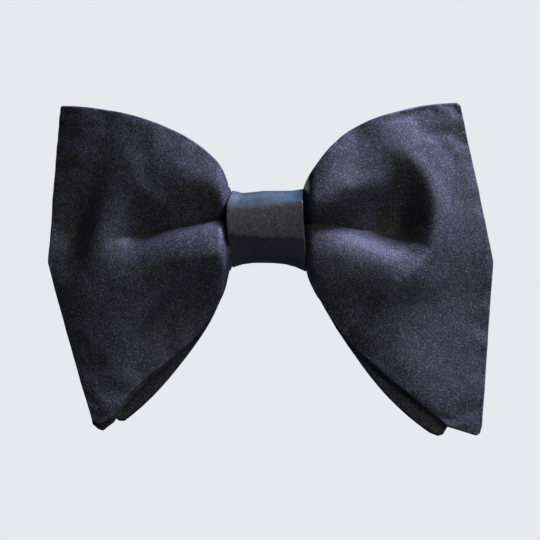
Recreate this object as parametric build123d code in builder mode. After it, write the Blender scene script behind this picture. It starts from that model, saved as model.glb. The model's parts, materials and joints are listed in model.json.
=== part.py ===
"""Large pre-tied evening bow tie on an adjustable neck band with a hook, an eye and a slide.

Millimetres, +Z up. The origin is the centre of the neck loop, halfway up the band, and the bow
faces -Y. Angles round the neck are counted from the front, positive towards +X.
"""

import os
from math import asin, cos, degrees, radians, sin, sqrt

from build123d import *

# Neck band: a pressed satin tube on a circle round the collar.
neck_radius = 61.0
band_width = 18.0
band_thickness = 1.2
hardware_lift = 1.25  # the slide's inner bars hold the rear of the band this far off the collar
lift_starts, lift_ends = 72.0, 80.0  # where the band steps out, either side
rear_radius = neck_radius + hardware_lift
stiffener_thickness = 0.3
stiffener_width = 15.0

# Closure at the back: a hook on the left end catches a wire eye on the right end.
bar_radius = 0.8
bar_play = 0.05
loop_radius = bar_radius + bar_play + band_thickness  # outside of the cloth round a bar
pivot_radius = rear_radius + loop_radius + bar_play
pivot_x = 12.0
pivot_y = sqrt(pivot_radius**2 - pivot_x**2)
pivot_angle = 180.0 - degrees(asin(pivot_x / pivot_radius))
flex_angle = 140.0  # the hook end of the band folds outwards on this line
frame_gap = 0.3  # between the band's edges and the metal frames
frame_half = band_width / 2 + frame_gap + bar_radius  # to the middle of a frame's side

# Slide on the right-hand side of the band.
slide_angle = 105.0
slide_half_length = 5.5
inner_bar_radius = 0.4
inner_bar_distance = neck_radius + 0.5  # keeps the slide's straight inner side clear of the collar
slide_bar_radius = rear_radius + band_thickness + 0.1 + loop_radius  # centre bar, from the neck axis
ply_gap = 0.2

# Bow: a front bow and a rear bow, each a turned satin cover over a stiff interlining.
# Distances are from the neck axis to the middle of the cloth at the waist, and further out.
cover_thickness = 0.55
interlining_thickness = 0.7
bow_half_thickness = cover_thickness + interlining_thickness / 2
front_curve = [(0, 71.0), (14, 71.2), (30, 74.6), (48, 75.8), (66, 73.6), (84, 71.3)]
rear_curve = [(0, 68.8), (14, 68.7), (30, 67.2), (48, 66.6), (66, 67.6), (84, 69.0)]
seam_margin = 1.2
lay = 0.04  # air left between one layer and the next
waist_half_height = 10.2
binding_radius = 0.4

# Knot wrap round the waist of the bow.
wrap_thickness = 1.1
wrap_back = neck_radius + band_thickness + 0.15
wrap_front = 78.0
wrap_top, wrap_bottom = 13.6, -13.4
stitch_radius = 0.22

# Outlines seen from the front, measured from the middle of the knot. Each bow's lower ends are
# listed from the elbow of the outer edge, round the blunt tip, and its lower edges from tip to waist.
left_top_edge = [(-12.9, 11.9), (-13.7, 14.4), (-17.8, 23.3), (-36.4, 36.4), (-47.2, 40.3), (-73.4, 44.6)]
left_corner = (-74.2, 44.0)
left_end = [(-78.8, -12.6), (-62.6, -69.4), (-62.3, -71.2), (-60.2, -73.1), (-58.4, -73.5), (-54.3, -70.4)]
left_lower_edge = [(-54.3, -70.4), (-45.0, -58.2), (-30.0, -44.8), (-15.6, -22.7), (-13.6, -14.6), (-12.9, -11.6)]
left_rear_end = [(-77.6, -14.0), (-55.6, -69.2), (-53.6, -70.9), (-51.6, -70.9)]
left_rear_lower = [(-51.6, -70.9), (-38.2, -58.7), (-27.0, -44.3), (-15.4, -22.7), (-13.6, -14.6), (-12.9, -11.6)]
right_top_edge = [(13.1, 11.8), (14.1, 14.6), (19.7, 24.1), (28.4, 33.8), (39.2, 39.2), (52.0, 43.2), (68.6, 45.2)]
right_corner = (69.8, 44.2)
right_end = [(81.2, -12.6), (77.2, -71.6), (76.4, -74.4), (75.0, -75.2), (64.2, -71.8)]
right_lower_edge = [(64.2, -71.8), (43.4, -54.1), (27.8, -39.0), (16.8, -20.6), (15.1, -15.4), (14.5, -11.6)]
right_rear_end = [(80.4, -14.0), (65.0, -72.0), (63.4, -74.8), (61.6, -75.4), (58.6, -74.2)]
right_rear_lower = [(58.6, -74.2), (43.4, -61.2), (29.8, -43.5), (17.0, -20.6), (15.1, -15.4), (14.5, -11.6)]

os.makedirs("parts", exist_ok=True)


def around(radius, angle):
    """The point at this distance from the neck axis, at an angle counted from the front."""
    return radius * sin(radians(angle)), -radius * cos(radians(angle))


def arc_at(radius, start, end):
    """An arc round the neck axis between two angles counted from the front."""
    return CenterArc((0, 0), radius, start - 90, end - start)


def band_edge(height, start, end):
    """One face of the band, this far out from its inner face, with the step on each side."""
    collar, rear = neck_radius + height, rear_radius + height
    arc_at(rear, start, -lift_ends)
    Line(around(rear, -lift_ends), around(collar, -lift_starts))
    arc_at(collar, -lift_starts, lift_starts)
    Line(around(collar, lift_starts), around(rear, lift_ends))
    arc_at(rear, lift_ends, end)


def band_profile(inner, outer, start, end):
    """The band seen from above, between two heights and two angles."""
    with BuildSketch() as profile:
        with BuildLine():
            band_edge(inner, start, end)
            band_edge(outer, start, end)
            for angle in (start, end):
                Line(around(rear_radius + inner, angle), around(rear_radius + outer, angle))
        make_face()
    return profile.sketch


def ring_sector(inner, outer, start, end):
    """A strip round the neck axis between two radii and two angles."""
    with BuildSketch() as sector:
        with BuildLine():
            arc_at(inner, start, end)
            arc_at(outer, start, end)
            for angle in (start, end):
                Line(around(inner, angle), around(outer, angle))
        make_face()
    return sector.sketch


def save(piece, name):
    """Labels a finished piece and writes its STEP file."""
    piece.part.label = name
    export_step(piece.part, f"parts/{name}.step")


# ---------------------------------------------------------------- neck band

fold_length = 11.0  # degrees of band folded back and stitched down behind the hook's bar

with BuildPart() as neck_band:
    with BuildSketch() as band_sketch:
        add(band_profile(0, band_thickness, -flex_angle, pivot_angle))
        with Locations((pivot_x, pivot_y)):
            Circle(loop_radius)
            Circle(bar_radius + bar_play, mode=Mode.SUBTRACT)
    extrude(amount=band_width / 2, both=True)
    with BuildSketch() as stiffener_space:
        add(band_profile(
            band_thickness / 2 - stiffener_thickness / 2 - bar_play,
            band_thickness / 2 + stiffener_thickness / 2 + bar_play,
            -flex_angle + 3,
            pivot_angle - 6,
        ))
    extrude(amount=stiffener_width / 2 + bar_play, both=True, mode=Mode.SUBTRACT)

with BuildPart() as neck_band_stiffener:
    with BuildSketch():
        add(band_profile(
            band_thickness / 2 - stiffener_thickness / 2,
            band_thickness / 2 + stiffener_thickness / 2,
            -flex_angle + 3.1,
            pivot_angle - 6.1,
        ))
    extrude(amount=stiffener_width / 2, both=True)

with BuildPart() as neck_band_hook_end:
    with BuildSketch():
        add(ring_sector(rear_radius, rear_radius + band_thickness, -pivot_angle, -flex_angle))
        add(ring_sector(
            rear_radius + band_thickness,
            rear_radius + 2 * band_thickness,
            -pivot_angle,
            -pivot_angle + fold_length,
        ))
        with Locations((-pivot_x, pivot_y)):
            Circle(loop_radius)
            Circle(bar_radius + bar_play, mode=Mode.SUBTRACT)
    extrude(amount=band_width / 2, both=True)

# The band turns back through the eye and runs to the slide's centre bar.
with BuildPart() as adjuster_loop:
    ply_inside = rear_radius + band_thickness + ply_gap
    slide_bar = around(slide_bar_radius, slide_angle)
    with BuildSketch():
        add(ring_sector(ply_inside, ply_inside + band_thickness, slide_angle, pivot_angle - 2.4))
        add(ring_sector(
            ply_inside + band_thickness,
            ply_inside + 2 * band_thickness,
            slide_angle,
            slide_angle + fold_length,
        ))
        with Locations(slide_bar):
            Circle(loop_radius)
            Circle(bar_radius + bar_play, mode=Mode.SUBTRACT)
    extrude(amount=band_width / 2, both=True)

# ---------------------------------------------------------------- metal fittings

with BuildPart() as slide:
    cheek_thickness = 1.6
    slide_middle = Location((*around(inner_bar_distance, slide_angle), 0), (0, 0, slide_angle))
    with BuildSketch(Plane.XY.offset(band_width / 2 + frame_gap)) as cheek:
        with Locations(slide_middle):
            with Locations((-slide_half_length, 0), (slide_half_length, 0)):
                Circle(inner_bar_radius)
        with Locations(slide_bar):
            Circle(1.5)
        make_hull()
    extrude(amount=cheek_thickness)
    mirror(about=Plane.XY)
    with BuildSketch():
        with Locations(slide_middle):
            with Locations((-slide_half_length, 0), (slide_half_length, 0)):
                Circle(inner_bar_radius)
        with Locations(slide_bar):
            Circle(bar_radius)
    extrude(amount=band_width / 2 + frame_gap + cheek_thickness / 2, both=True)

with BuildPart() as eye:
    catch_x = 1.0
    with BuildLine() as eye_wire:
        FilletPolyline(
            (pivot_x, pivot_y, frame_half),
            (catch_x, pivot_y, frame_half),
            (catch_x, pivot_y, -frame_half),
            (pivot_x, pivot_y, -frame_half),
            radius=1.0,
            close=True,
        )
    with BuildSketch(Plane((pivot_x, pivot_y, 0), z_dir=(0, 0, 1))):
        Circle(bar_radius)
    sweep()

with BuildPart() as hook:
    plate = 0.9
    plate_y = pivot_y + bar_radius + 0.18 + plate / 2
    prong_reach = 14.6 + plate / 2  # from the hook's bar to the middle of the prong
    prong_drop = 2.9
    with BuildSketch():
        with BuildLine():
            shank = Polyline(
                (-pivot_x, pivot_y),
                (-pivot_x + 2.4, plate_y),
                (-pivot_x + prong_reach - 0.6, plate_y),
                (-pivot_x + prong_reach, plate_y - 0.6),
                (-pivot_x + prong_reach - 0.15, plate_y - prong_drop),
            )
        trace(line_width=plate)
    extrude(amount=frame_half + bar_radius, both=True)
    with BuildSketch(Plane.XZ) as planform:
        with BuildLine():
            tongue = Polyline(
                (-pivot_x, frame_half + bar_radius),
                (-pivot_x + 3.8, frame_half + bar_radius),
                (-pivot_x + 8.0, 4.6),
                (-pivot_x + prong_reach + 1, 3.4),
                (-pivot_x + prong_reach + 1, 0),
                (-pivot_x, 0),
                close=True,
            )
        make_face()
        mirror(about=Plane.XZ)
        fillet(planform.vertices().group_by(Axis.X)[1], radius=2.0)
        with Locations((-pivot_x + 1.4, 0)):
            Rectangle(4.2, band_width + 2 * frame_gap, mode=Mode.SUBTRACT)
    extrude(amount=pivot_radius + 10, both=True, mode=Mode.INTERSECT)
    with BuildSketch():
        with Locations((-pivot_x, pivot_y)):
            Circle(bar_radius)
    extrude(amount=frame_half + bar_radius, both=True)

# ---------------------------------------------------------------- bow


def curve_line(curve, forward):
    """The bow's plan curve, from its left end to its right end, moved forward this much."""
    half = [(x, -(y + forward)) for x, y in curve]
    Spline([(-x, y) for x, y in reversed(half[1:])] + half)


def layer(curve, inner, outer):
    """One layer of a bow seen from above, between two distances in front of its middle."""
    reach = curve[-1][0]
    end = curve[-1][1]
    with BuildSketch() as profile:
        with BuildLine():
            curve_line(curve, inner)
            curve_line(curve, outer)
            for x in (-reach, reach):
                Line((x, -(end + inner)), (x, -(end + outer)))
        make_face()
    return profile.sketch


def bow_outline(left_ends, left_lower, right_ends, right_lower):
    """The outline of one bow seen from the front."""
    with BuildSketch() as outline:
        with BuildLine():
            Spline(left_top_edge[0], (0, waist_half_height), right_top_edge[0])
            Spline(left_top_edge)
            Polyline([left_top_edge[-1], left_corner] + left_ends)
            Spline(left_lower)
            Spline(left_lower[-1], (0, -waist_half_height), right_lower[-1])
            Spline(right_lower)
            Polyline([right_top_edge[-1], right_corner] + right_ends)
            Spline(right_top_edge)
        make_face()
    return outline.sketch


def pocket_outline(left_ends, left_lower, right_ends, right_lower, margin):
    """The outline inside one bow's seams, this far in from its edges."""
    left_side = left_top_edge + [left_corner] + left_ends + left_lower[1:]
    right_side = right_top_edge + [right_corner] + right_ends + right_lower[1:]
    corners = left_side + [(0, -waist_half_height)] + right_side[::-1] + [(0, waist_half_height)]
    with BuildSketch() as outline:
        Polygon(*corners, align=None)
        offset(amount=-margin, kind=Kind.INTERSECTION)
    return outline.sketch


def cloth_layer(curve, inner, outer, shape):
    """A layer of cloth cut to an outline."""
    with BuildPart() as cloth:
        with BuildSketch(Plane.XY.offset(-90)):
            add(layer(curve, inner, outer))
        extrude(amount=180)
        with BuildSketch(Plane.XZ):
            add(shape)
        extrude(amount=90, mode=Mode.INTERSECT)
    return cloth.part


front_cut = (left_end, left_lower_edge, right_end, right_lower_edge)
rear_cut = (left_rear_end, left_rear_lower, right_rear_end, right_rear_lower)
front_shape, rear_shape = bow_outline(*front_cut), bow_outline(*rear_cut)
front_pocket = pocket_outline(*front_cut, seam_margin)
rear_pocket = pocket_outline(*rear_cut, seam_margin)
front_filling = pocket_outline(*front_cut, seam_margin + lay)
rear_filling = pocket_outline(*rear_cut, seam_margin + lay)
half_stiff = interlining_thickness / 2

with BuildPart() as front_bow_interlining:
    add(cloth_layer(front_curve, -half_stiff, half_stiff, front_filling))

with BuildPart() as front_bow_face:
    add(cloth_layer(front_curve, lay / 2, bow_half_thickness, front_shape))
    add(
        cloth_layer(front_curve, -1, half_stiff + lay, front_pocket),
        mode=Mode.SUBTRACT,
    )

with BuildPart() as front_bow_lining:
    add(cloth_layer(front_curve, -bow_half_thickness, -lay / 2, front_shape))
    add(
        cloth_layer(front_curve, -half_stiff - lay, 1, front_pocket),
        mode=Mode.SUBTRACT,
    )

with BuildPart() as rear_bow_interlining:
    add(cloth_layer(rear_curve, -half_stiff, half_stiff, rear_filling))

with BuildPart() as rear_bow_face:
    add(cloth_layer(rear_curve, lay / 2, bow_half_thickness, rear_shape))
    add(
        cloth_layer(rear_curve, -1, half_stiff + lay, rear_pocket),
        mode=Mode.SUBTRACT,
    )

with BuildPart() as rear_bow_lining:
    add(cloth_layer(rear_curve, -bow_half_thickness, -lay / 2, rear_shape))
    add(
        cloth_layer(rear_curve, -half_stiff - lay, 1, rear_pocket),
        mode=Mode.SUBTRACT,
    )

# Three turns of thread pull the two bows together at the waist.
bound_front = front_curve[0][1] + bow_half_thickness + binding_radius + 0.1
bound_back = rear_curve[0][1] - bow_half_thickness - binding_radius - 0.1
bound_half = waist_half_height + binding_radius + 0.15
with BuildPart() as waist_binding:
    for x in (-1.1, 0.0, 1.1):
        with BuildLine() as turn:
            FilletPolyline(
                (x, -bound_front, bound_half),
                (x, -bound_front, -bound_half),
                (x, -bound_back, -bound_half),
                (x, -bound_back, bound_half),
                radius=1.0,
                close=True,
            )
        with BuildSketch(Plane((x, -bound_front, 0), z_dir=(0, 0, 1))):
            Circle(binding_radius)
        sweep(path=turn.line)

# ---------------------------------------------------------------- knot

def wrap_section(inward):
    """The wrap's section across the bow, this far in from its outside. Its front has three facets."""
    with BuildSketch() as section:
        with BuildLine():
            Polyline(
                (-wrap_back, -9.8),
                (-wrap_back, 10.0),
                (-wrap_back - 2.6, wrap_top),
                (-73.2, wrap_top),
                (-wrap_front + 0.7, 8.6),
                (-wrap_front, -3.0),
                (-wrap_front + 2.0, -10.2),
                (-73.4, wrap_bottom),
                (-wrap_back - 2.6, wrap_bottom),
                close=True,
            )
        make_face()
        fillet(section.vertices(), radius=1.6)
        if inward:
            offset(amount=-inward)
    return section.sketch


with BuildPart() as knot_wrap:
    with BuildSketch(Plane.YZ):
        add(wrap_section(0))
        add(wrap_section(wrap_thickness), mode=Mode.SUBTRACT)
    extrude(amount=20, both=True)
    with BuildSketch(Plane.XZ):
        with BuildLine():
            left_side = Spline((-12.2, 14.0), (-14.4, 6.0), (-14.0, -2.0), (-12.2, -14.0))
            right_side = Spline((13.2, 14.0), (13.0, 6.0), (14.0, -3.0), (14.3, -14.0))
            Line(left_side @ 0, right_side @ 0)
            Line(left_side @ 1, right_side @ 1)
        make_face()
    extrude(amount=90, mode=Mode.INTERSECT)

# A pad of wadding fills the wrap in front of the bound waist.
pad_back = bound_front + binding_radius + 0.1
with BuildPart() as knot_padding:
    with BuildSketch(Plane.YZ):
        add(wrap_section(wrap_thickness + 0.1))
        with Locations((-pad_back, 0)):
            Rectangle(10, 40, align=(Align.MAX, Align.CENTER), mode=Mode.INTERSECT)
    extrude(amount=11.6, both=True)

with BuildPart() as knot_closing_stitches:
    with BuildSketch(Plane.YZ):
        with Locations((-(wrap_back - stitch_radius), 9.9)):
            Circle(stitch_radius)
    extrude(amount=0.7, both=True)
    stitch = knot_closing_stitches.part
    with Locations(*[(x, 0, 0) for x in (-9.0, -6.0, -3.0, 3.0, 6.0, 9.0)]):
        add(stitch)

with BuildPart() as band_tacking_stitches:
    with BuildSketch(Plane.XY.offset(band_width / 2 + 0.02)):
        with Locations(*[(x, -(wrap_back - 0.62)) for x in (-8.0, -4.0, 0.0, 4.0, 8.0)]):
            Rectangle(0.45, 1.2)
    extrude(amount=0.5)
    mirror(about=Plane.XY)

# ---------------------------------------------------------------- stitching on the band


def stitch_row(angle, radius):
    """A row of short stitches across the band at an angle round the neck."""
    with BuildPart() as row:
        x, y = around(radius + stitch_radius, angle)
        with BuildSketch(Plane.XY.offset(-0.8)):
            with Locations((x, y)):
                Circle(stitch_radius)
        extrude(amount=1.6)
    with BuildPart() as rows:
        with Locations(*[(0, 0, z) for z in (-7.2, -4.8, -2.4, 0.0, 2.4, 4.8, 7.2)]):
            add(row.part)
    return rows.part


fold_face = rear_radius + 2 * band_thickness
with BuildPart() as hook_end_stitches:
    for step in (fold_length - 2.2, fold_length - 0.9):
        add(stitch_row(-pivot_angle + step, fold_face))

with BuildPart() as adjuster_stitches:
    for step in (fold_length - 2.2, fold_length - 0.9):
        add(stitch_row(slide_angle + step, ply_inside + 2 * band_thickness))

save(neck_band, "neck_band")
save(neck_band_stiffener, "neck_band_stiffener")
save(neck_band_hook_end, "neck_band_hook_end")
save(adjuster_loop, "adjuster_loop")
save(slide, "slide")
save(eye, "eye")
save(hook, "hook")
save(front_bow_face, "front_bow_face")
save(front_bow_interlining, "front_bow_interlining")
save(front_bow_lining, "front_bow_lining")
save(rear_bow_face, "rear_bow_face")
save(rear_bow_interlining, "rear_bow_interlining")
save(rear_bow_lining, "rear_bow_lining")
save(waist_binding, "waist_binding")
save(knot_wrap, "knot_wrap")
save(knot_padding, "knot_padding")
save(knot_closing_stitches, "knot_closing_stitches")
save(band_tacking_stitches, "band_tacking_stitches")
save(hook_end_stitches, "hook_end_stitches")
save(adjuster_stitches, "adjuster_stitches")
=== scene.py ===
"""Looks of a large ready-tied satin bow tie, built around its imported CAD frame.

Metres, +Z up, the bow faces -Y. Folds are laid out in millimetres and turned to metres with MM.
"""

import math

import bmesh
import bpy
import json
import numpy as np
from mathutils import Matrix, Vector, noise
from mathutils.bvhtree import BVHTree


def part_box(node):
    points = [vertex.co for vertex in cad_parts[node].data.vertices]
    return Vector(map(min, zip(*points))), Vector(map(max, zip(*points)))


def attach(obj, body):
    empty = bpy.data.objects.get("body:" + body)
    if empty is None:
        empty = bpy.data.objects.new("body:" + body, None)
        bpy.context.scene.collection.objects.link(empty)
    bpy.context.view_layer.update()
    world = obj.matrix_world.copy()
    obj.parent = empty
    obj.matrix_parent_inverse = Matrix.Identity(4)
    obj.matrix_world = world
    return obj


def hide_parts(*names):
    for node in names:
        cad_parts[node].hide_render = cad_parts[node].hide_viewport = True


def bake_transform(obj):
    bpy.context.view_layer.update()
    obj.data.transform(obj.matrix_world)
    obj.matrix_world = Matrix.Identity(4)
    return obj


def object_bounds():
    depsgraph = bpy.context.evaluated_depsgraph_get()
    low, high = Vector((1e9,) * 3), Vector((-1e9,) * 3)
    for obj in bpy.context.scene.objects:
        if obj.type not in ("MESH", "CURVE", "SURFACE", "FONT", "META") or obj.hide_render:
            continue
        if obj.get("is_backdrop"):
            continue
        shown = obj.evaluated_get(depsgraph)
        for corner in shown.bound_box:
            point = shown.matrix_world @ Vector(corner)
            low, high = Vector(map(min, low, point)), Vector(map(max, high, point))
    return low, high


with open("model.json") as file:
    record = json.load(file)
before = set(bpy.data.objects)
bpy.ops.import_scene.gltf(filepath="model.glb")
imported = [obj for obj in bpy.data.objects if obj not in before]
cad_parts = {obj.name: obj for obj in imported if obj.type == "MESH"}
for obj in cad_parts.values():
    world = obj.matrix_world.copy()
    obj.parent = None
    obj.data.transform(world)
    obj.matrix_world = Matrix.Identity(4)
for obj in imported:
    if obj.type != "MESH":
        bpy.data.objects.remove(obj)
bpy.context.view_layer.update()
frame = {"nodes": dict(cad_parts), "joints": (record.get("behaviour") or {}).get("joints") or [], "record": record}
MM = 0.001
X, Y, Z = 0, 1, 2
SAME_PLACE = 1e-7  # points closer than this are one point

# -------- sizes read from the frame

collar = frame["record"]["mounts"][0]
neck_radius = collar["dims"]["r_mm"] * MM
band_width = collar["dims"]["length_mm"] * MM
joints = {j["name"]: j for j in frame["joints"]}
knot_low, knot_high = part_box("knot_wrap")
knot_middle_z = (knot_low.z + knot_high.z) / 2
bow_low, bow_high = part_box("front_bow_face")
band_thickness = -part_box("neck_band")[0].y - neck_radius


# -------- mesh helpers


def new_object(name, vertices, faces):
    """A smooth-shaded mesh object from points and faces."""
    mesh = bpy.data.meshes.new(name)
    mesh.from_pydata([tuple(v) for v in vertices], [], [tuple(int(i) for i in f) for f in faces])
    mesh.validate()
    mesh.polygons.foreach_set("use_smooth", [True] * len(mesh.polygons))
    mesh.update()
    piece = bpy.data.objects.new(name, mesh)
    bpy.context.scene.collection.objects.link(piece)
    return piece


def outward(piece):
    """Merges points that lie in one place, and turns every face of a closed mesh outwards."""
    work = bmesh.new()
    work.from_mesh(piece.data)
    bmesh.ops.remove_doubles(work, verts=work.verts, dist=SAME_PLACE)
    bmesh.ops.recalc_face_normals(work, faces=work.faces)
    work.to_mesh(piece.data)
    work.free()
    piece.data.update()


def set_uv(piece, uv):
    """A UV map from one pair of numbers for each vertex."""
    layer = piece.data.uv_layers.new(name="UVMap")
    loops = np.zeros(len(piece.data.loops), np.int32)
    piece.data.loops.foreach_get("vertex_index", loops)
    layer.data.foreach_set("uv", uv[loops].astype(np.float32).ravel())


def planar_uv(piece, across, up):
    """A UV map in metres over two directions of the shared frame."""
    coordinates = np.array([v.co for v in piece.data.vertices])
    set_uv(piece, np.stack([coordinates @ np.array(across), coordinates @ np.array(up)], 1))


def grid_faces(rows, columns):
    """Quads over a grid of points numbered row by row."""
    faces = []
    for start in range(0, (rows - 1) * columns, columns):
        for a in range(start, start + columns - 1):
            faces.append((a, a + 1, a + 1 + columns, a + columns))
    return faces


def tube_faces(rings, sides, base=0, closed=False):
    """Quads along a tube of rings of points; a closed tube's last ring joins its first."""
    faces = []
    for ring in range(rings if closed else rings - 1):
        near, far = base + ring * sides, base + (ring + 1) % rings * sides
        for side in range(sides):
            following = (side + 1) % sides
            faces.append((near + side, near + following, far + following, far + side))
    return faces


def resample(points, shares):
    """Points at these shares of a path's length."""
    points = np.asarray(points, float)
    steps = np.linalg.norm(np.diff(points, axis=0), axis=1)
    run = np.concatenate([[0], np.cumsum(steps)])
    run /= run[-1]
    return np.stack([np.interp(shares, run, points[:, k]) for k in range(points.shape[1])], 1)


def smoothstep(low, high, value):
    """0 below low, 1 above high, smooth in between."""
    t = np.clip((value - low) / (high - low), 0, 1)
    return t * t * (3 - 2 * t)


def rounding(distance, radius):
    """How full a rounded edge is at this distance from it: 0 at the edge, 1 from one radius on."""
    return np.sqrt(1 - (1 - np.clip(distance / radius, 0, 1)) ** 2)


# -------- the wings' outlines

RAYS = 1440  # directions in which a wing's outline is looked for
ROUND_OFF = 1e-6  # shares of a segment by which a ray may miss it


def segments_of(node):
    """Every edge of a CAD node seen from the front, as pairs of (x, z)."""
    mesh = frame["nodes"][node].data
    points = np.array([v.co for v in mesh.vertices])[:, [0, 2]]
    pairs = np.array([e.vertices[:] for e in mesh.edges])
    return points[pairs[:, 0]], points[pairs[:, 1]]


def cut_ends(start, end, side, cut):
    """The lowest and the highest point of a wing where the knot cuts it off."""
    crossing = (start[:, 0] * side - cut) * (end[:, 0] * side - cut) < 0
    start, end = start[crossing], end[crossing]
    share = (side * cut - start[:, 0]) / (end[:, 0] - start[:, 0])
    heights = start[:, 1] + share * (end[:, 1] - start[:, 1])
    return np.array([side * cut, heights.min()]), np.array([side * cut, heights.max()])


def outermost(start, end, middle):
    """The furthest point of these segments in every direction from a middle point."""
    span, offset = end - start, start - middle
    edge = []
    for angle in np.linspace(-math.pi, math.pi, RAYS + 1)[:-1]:
        ray = np.array([math.cos(angle), math.sin(angle)])
        cross = ray[0] * span[:, 1] - ray[1] * span[:, 0]
        cross = np.where(abs(cross) < 1e-12, 1e-12, cross)
        distance = (offset[:, 0] * span[:, 1] - offset[:, 1] * span[:, 0]) / cross
        share = (offset[:, 0] * ray[1] - offset[:, 1] * ray[0]) / cross
        hit = (share >= -ROUND_OFF) & (share <= 1 + ROUND_OFF) & (distance > 0)
        if hit.any():
            edge.append(middle + ray * distance[hit].max())
    return np.array(edge)


def wing_sides(node, side, cut):
    """One wing's knot, top, outer and lower edges, each running away from the knot or upwards."""
    start, end = segments_of(node)
    keep = (start[:, 0] * side >= cut) | (end[:, 0] * side >= cut)
    start, end = start[keep], end[keep]
    knot_bottom, knot_top = cut_ends(start, end, side, cut)
    reach = max(side * start[:, 0].max(), side * start[:, 0].min())
    middle = np.array([side * (cut + reach) / 2, (start[:, 1].max() + start[:, 1].min()) / 2])
    edge = outermost(start, end, middle)
    edge = edge[edge[:, 0] * side > cut]
    corner = edge[np.argmax(side * edge[:, 0] + edge[:, 1])]
    tip = edge[np.argmin(edge[:, 1])]

    def turn(point):
        away = point - middle
        return np.arctan2(away[..., 1], side * away[..., 0]) % (2 * math.pi)

    def between(first, last):
        span = (turn(last) - turn(first)) % (2 * math.pi)
        past = (turn(edge) - turn(first)) % (2 * math.pi)
        inside = (past > 1e-4) & (past < span - 1e-4)
        run = edge[inside][np.argsort(past[inside])]
        return np.concatenate([[first], run, [last]])

    top = between(corner, knot_top)[::-1]
    lower = between(knot_bottom, tip)
    outer = between(tip, corner)
    return {"knot": np.array([knot_bottom, knot_top]), "top": top, "lower": lower, "outer": outer}


def patch(sides, along, up):
    """A grid over one wing between its four edges."""
    low, high = resample(sides["lower"], along), resample(sides["top"], along)
    inner, outer = resample(sides["knot"], up), resample(sides["outer"], up)
    u, v = along[None, :, None], up[:, None, None]
    ruled = (1 - v) * low[None] + v * high[None] + (1 - u) * inner[:, None] + u * outer[:, None]
    below, above = (1 - u) * low[0] + u * low[-1], (1 - u) * high[0] + u * high[-1]
    return ruled - (1 - v) * below - v * above


# -------- folds in the satin

SOFTEN = 6  # how closely a fold keeps to its path
FOLD_GAIN, FOLD_SHARE = 0.9, 0.12  # they bring a fold to its full height on its path
PATH_POINTS = 40
CREASE_SHARPNESS = 1.15  # 1 would be a straight-sided crease, 2 a round one


def smooth_path(points):
    """A rounded path through a few points."""
    points = np.array(points, float)
    padded = np.concatenate([[2 * points[0] - points[1]], points, [2 * points[-1] - points[-2]]])
    out = []
    for i in range(1, len(padded) - 2):
        p0, p1, p2, p3 = padded[i - 1 : i + 3]
        for t in np.linspace(0, 1, PATH_POINTS // (len(points) - 1), endpoint=False):
            square = (2 * p0 - 5 * p1 + 4 * p2 - p3) * t**2
            cube = (3 * p1 - p0 - 3 * p2 + p3) * t**3
            out.append((2 * p1 + (p2 - p0) * t + square + cube) / 2)
    return np.array(out + [points[-1]])


def along_run(values, shares):
    """Values spread evenly over a run, read off at these shares of it."""
    return np.interp(shares, np.linspace(0, 1, len(values)), values)


def fold(a, b, path, height, above, below):
    """A ridge (or a valley, with a negative height) along a path.

    height, above and below are values spread evenly from the path's start to its end: how tall in
    millimetres, and how wide on either side in wing units.
    """
    path = smooth_path(path)
    direction = np.gradient(path, axis=0)
    direction /= np.linalg.norm(direction, axis=1, keepdims=True)
    shares = np.linspace(0, 1, len(path))
    heights, above, below = [along_run(values, shares) for values in (height, above, below)]
    total, lift = np.zeros(a.shape), np.zeros(a.shape)
    for point, way, tall, high, low in zip(path, direction, heights, above, below):
        gap_a, gap_b = a - point[0], b - point[1]
        gap = np.hypot(gap_a, gap_b) + 1e-6
        side = 0.5 + 0.5 * (way[0] * gap_b - way[1] * gap_a) / gap
        near = np.exp(-SOFTEN * (gap / (low + (high - low) * side)) ** 2)
        total += near
        lift += near * tall
    return FOLD_GAIN * lift / (total + 1e-12) * (total / (len(path) * FOLD_SHARE)) ** (1 / SOFTEN)


def rolled_edge(share, along, drop, width):
    """How far a wing's edge rolls back: drop lists it in millimetres, from the knot outwards."""
    return -along_run(drop, along) * np.exp(-((share / width) ** 2))


def crease(a, b, line):
    """A sharp inward fold that runs out from the knot under the upper lobe.

    line lists (along, up, depth in millimetres, width above, width below).
    """
    along, up, deep, above, below = smooth_path(line).T
    gap = b - np.interp(a, along, up)
    width = np.where(gap > 0, np.interp(a, along, above), np.interp(a, along, below))
    return -np.interp(a, along, deep) * np.exp(-((abs(gap) / width) ** CREASE_SHARPNESS))


def step_down(a, b, line):
    """A soft step backwards below a line: line lists (along, up, drop in millimetres, width)."""
    along, up, drop, width = smooth_path(line).T
    below = (np.interp(a, along, up) - b) / np.interp(a, along, width)
    return -np.interp(a, along, drop) * smoothstep(0, 1, below)


def near_knot(a):
    """The puffed cloth beside the knot, which fills the hollow of the plain curve there."""
    return 3.0 * (1 - smoothstep(0, 0.35, a))


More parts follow.
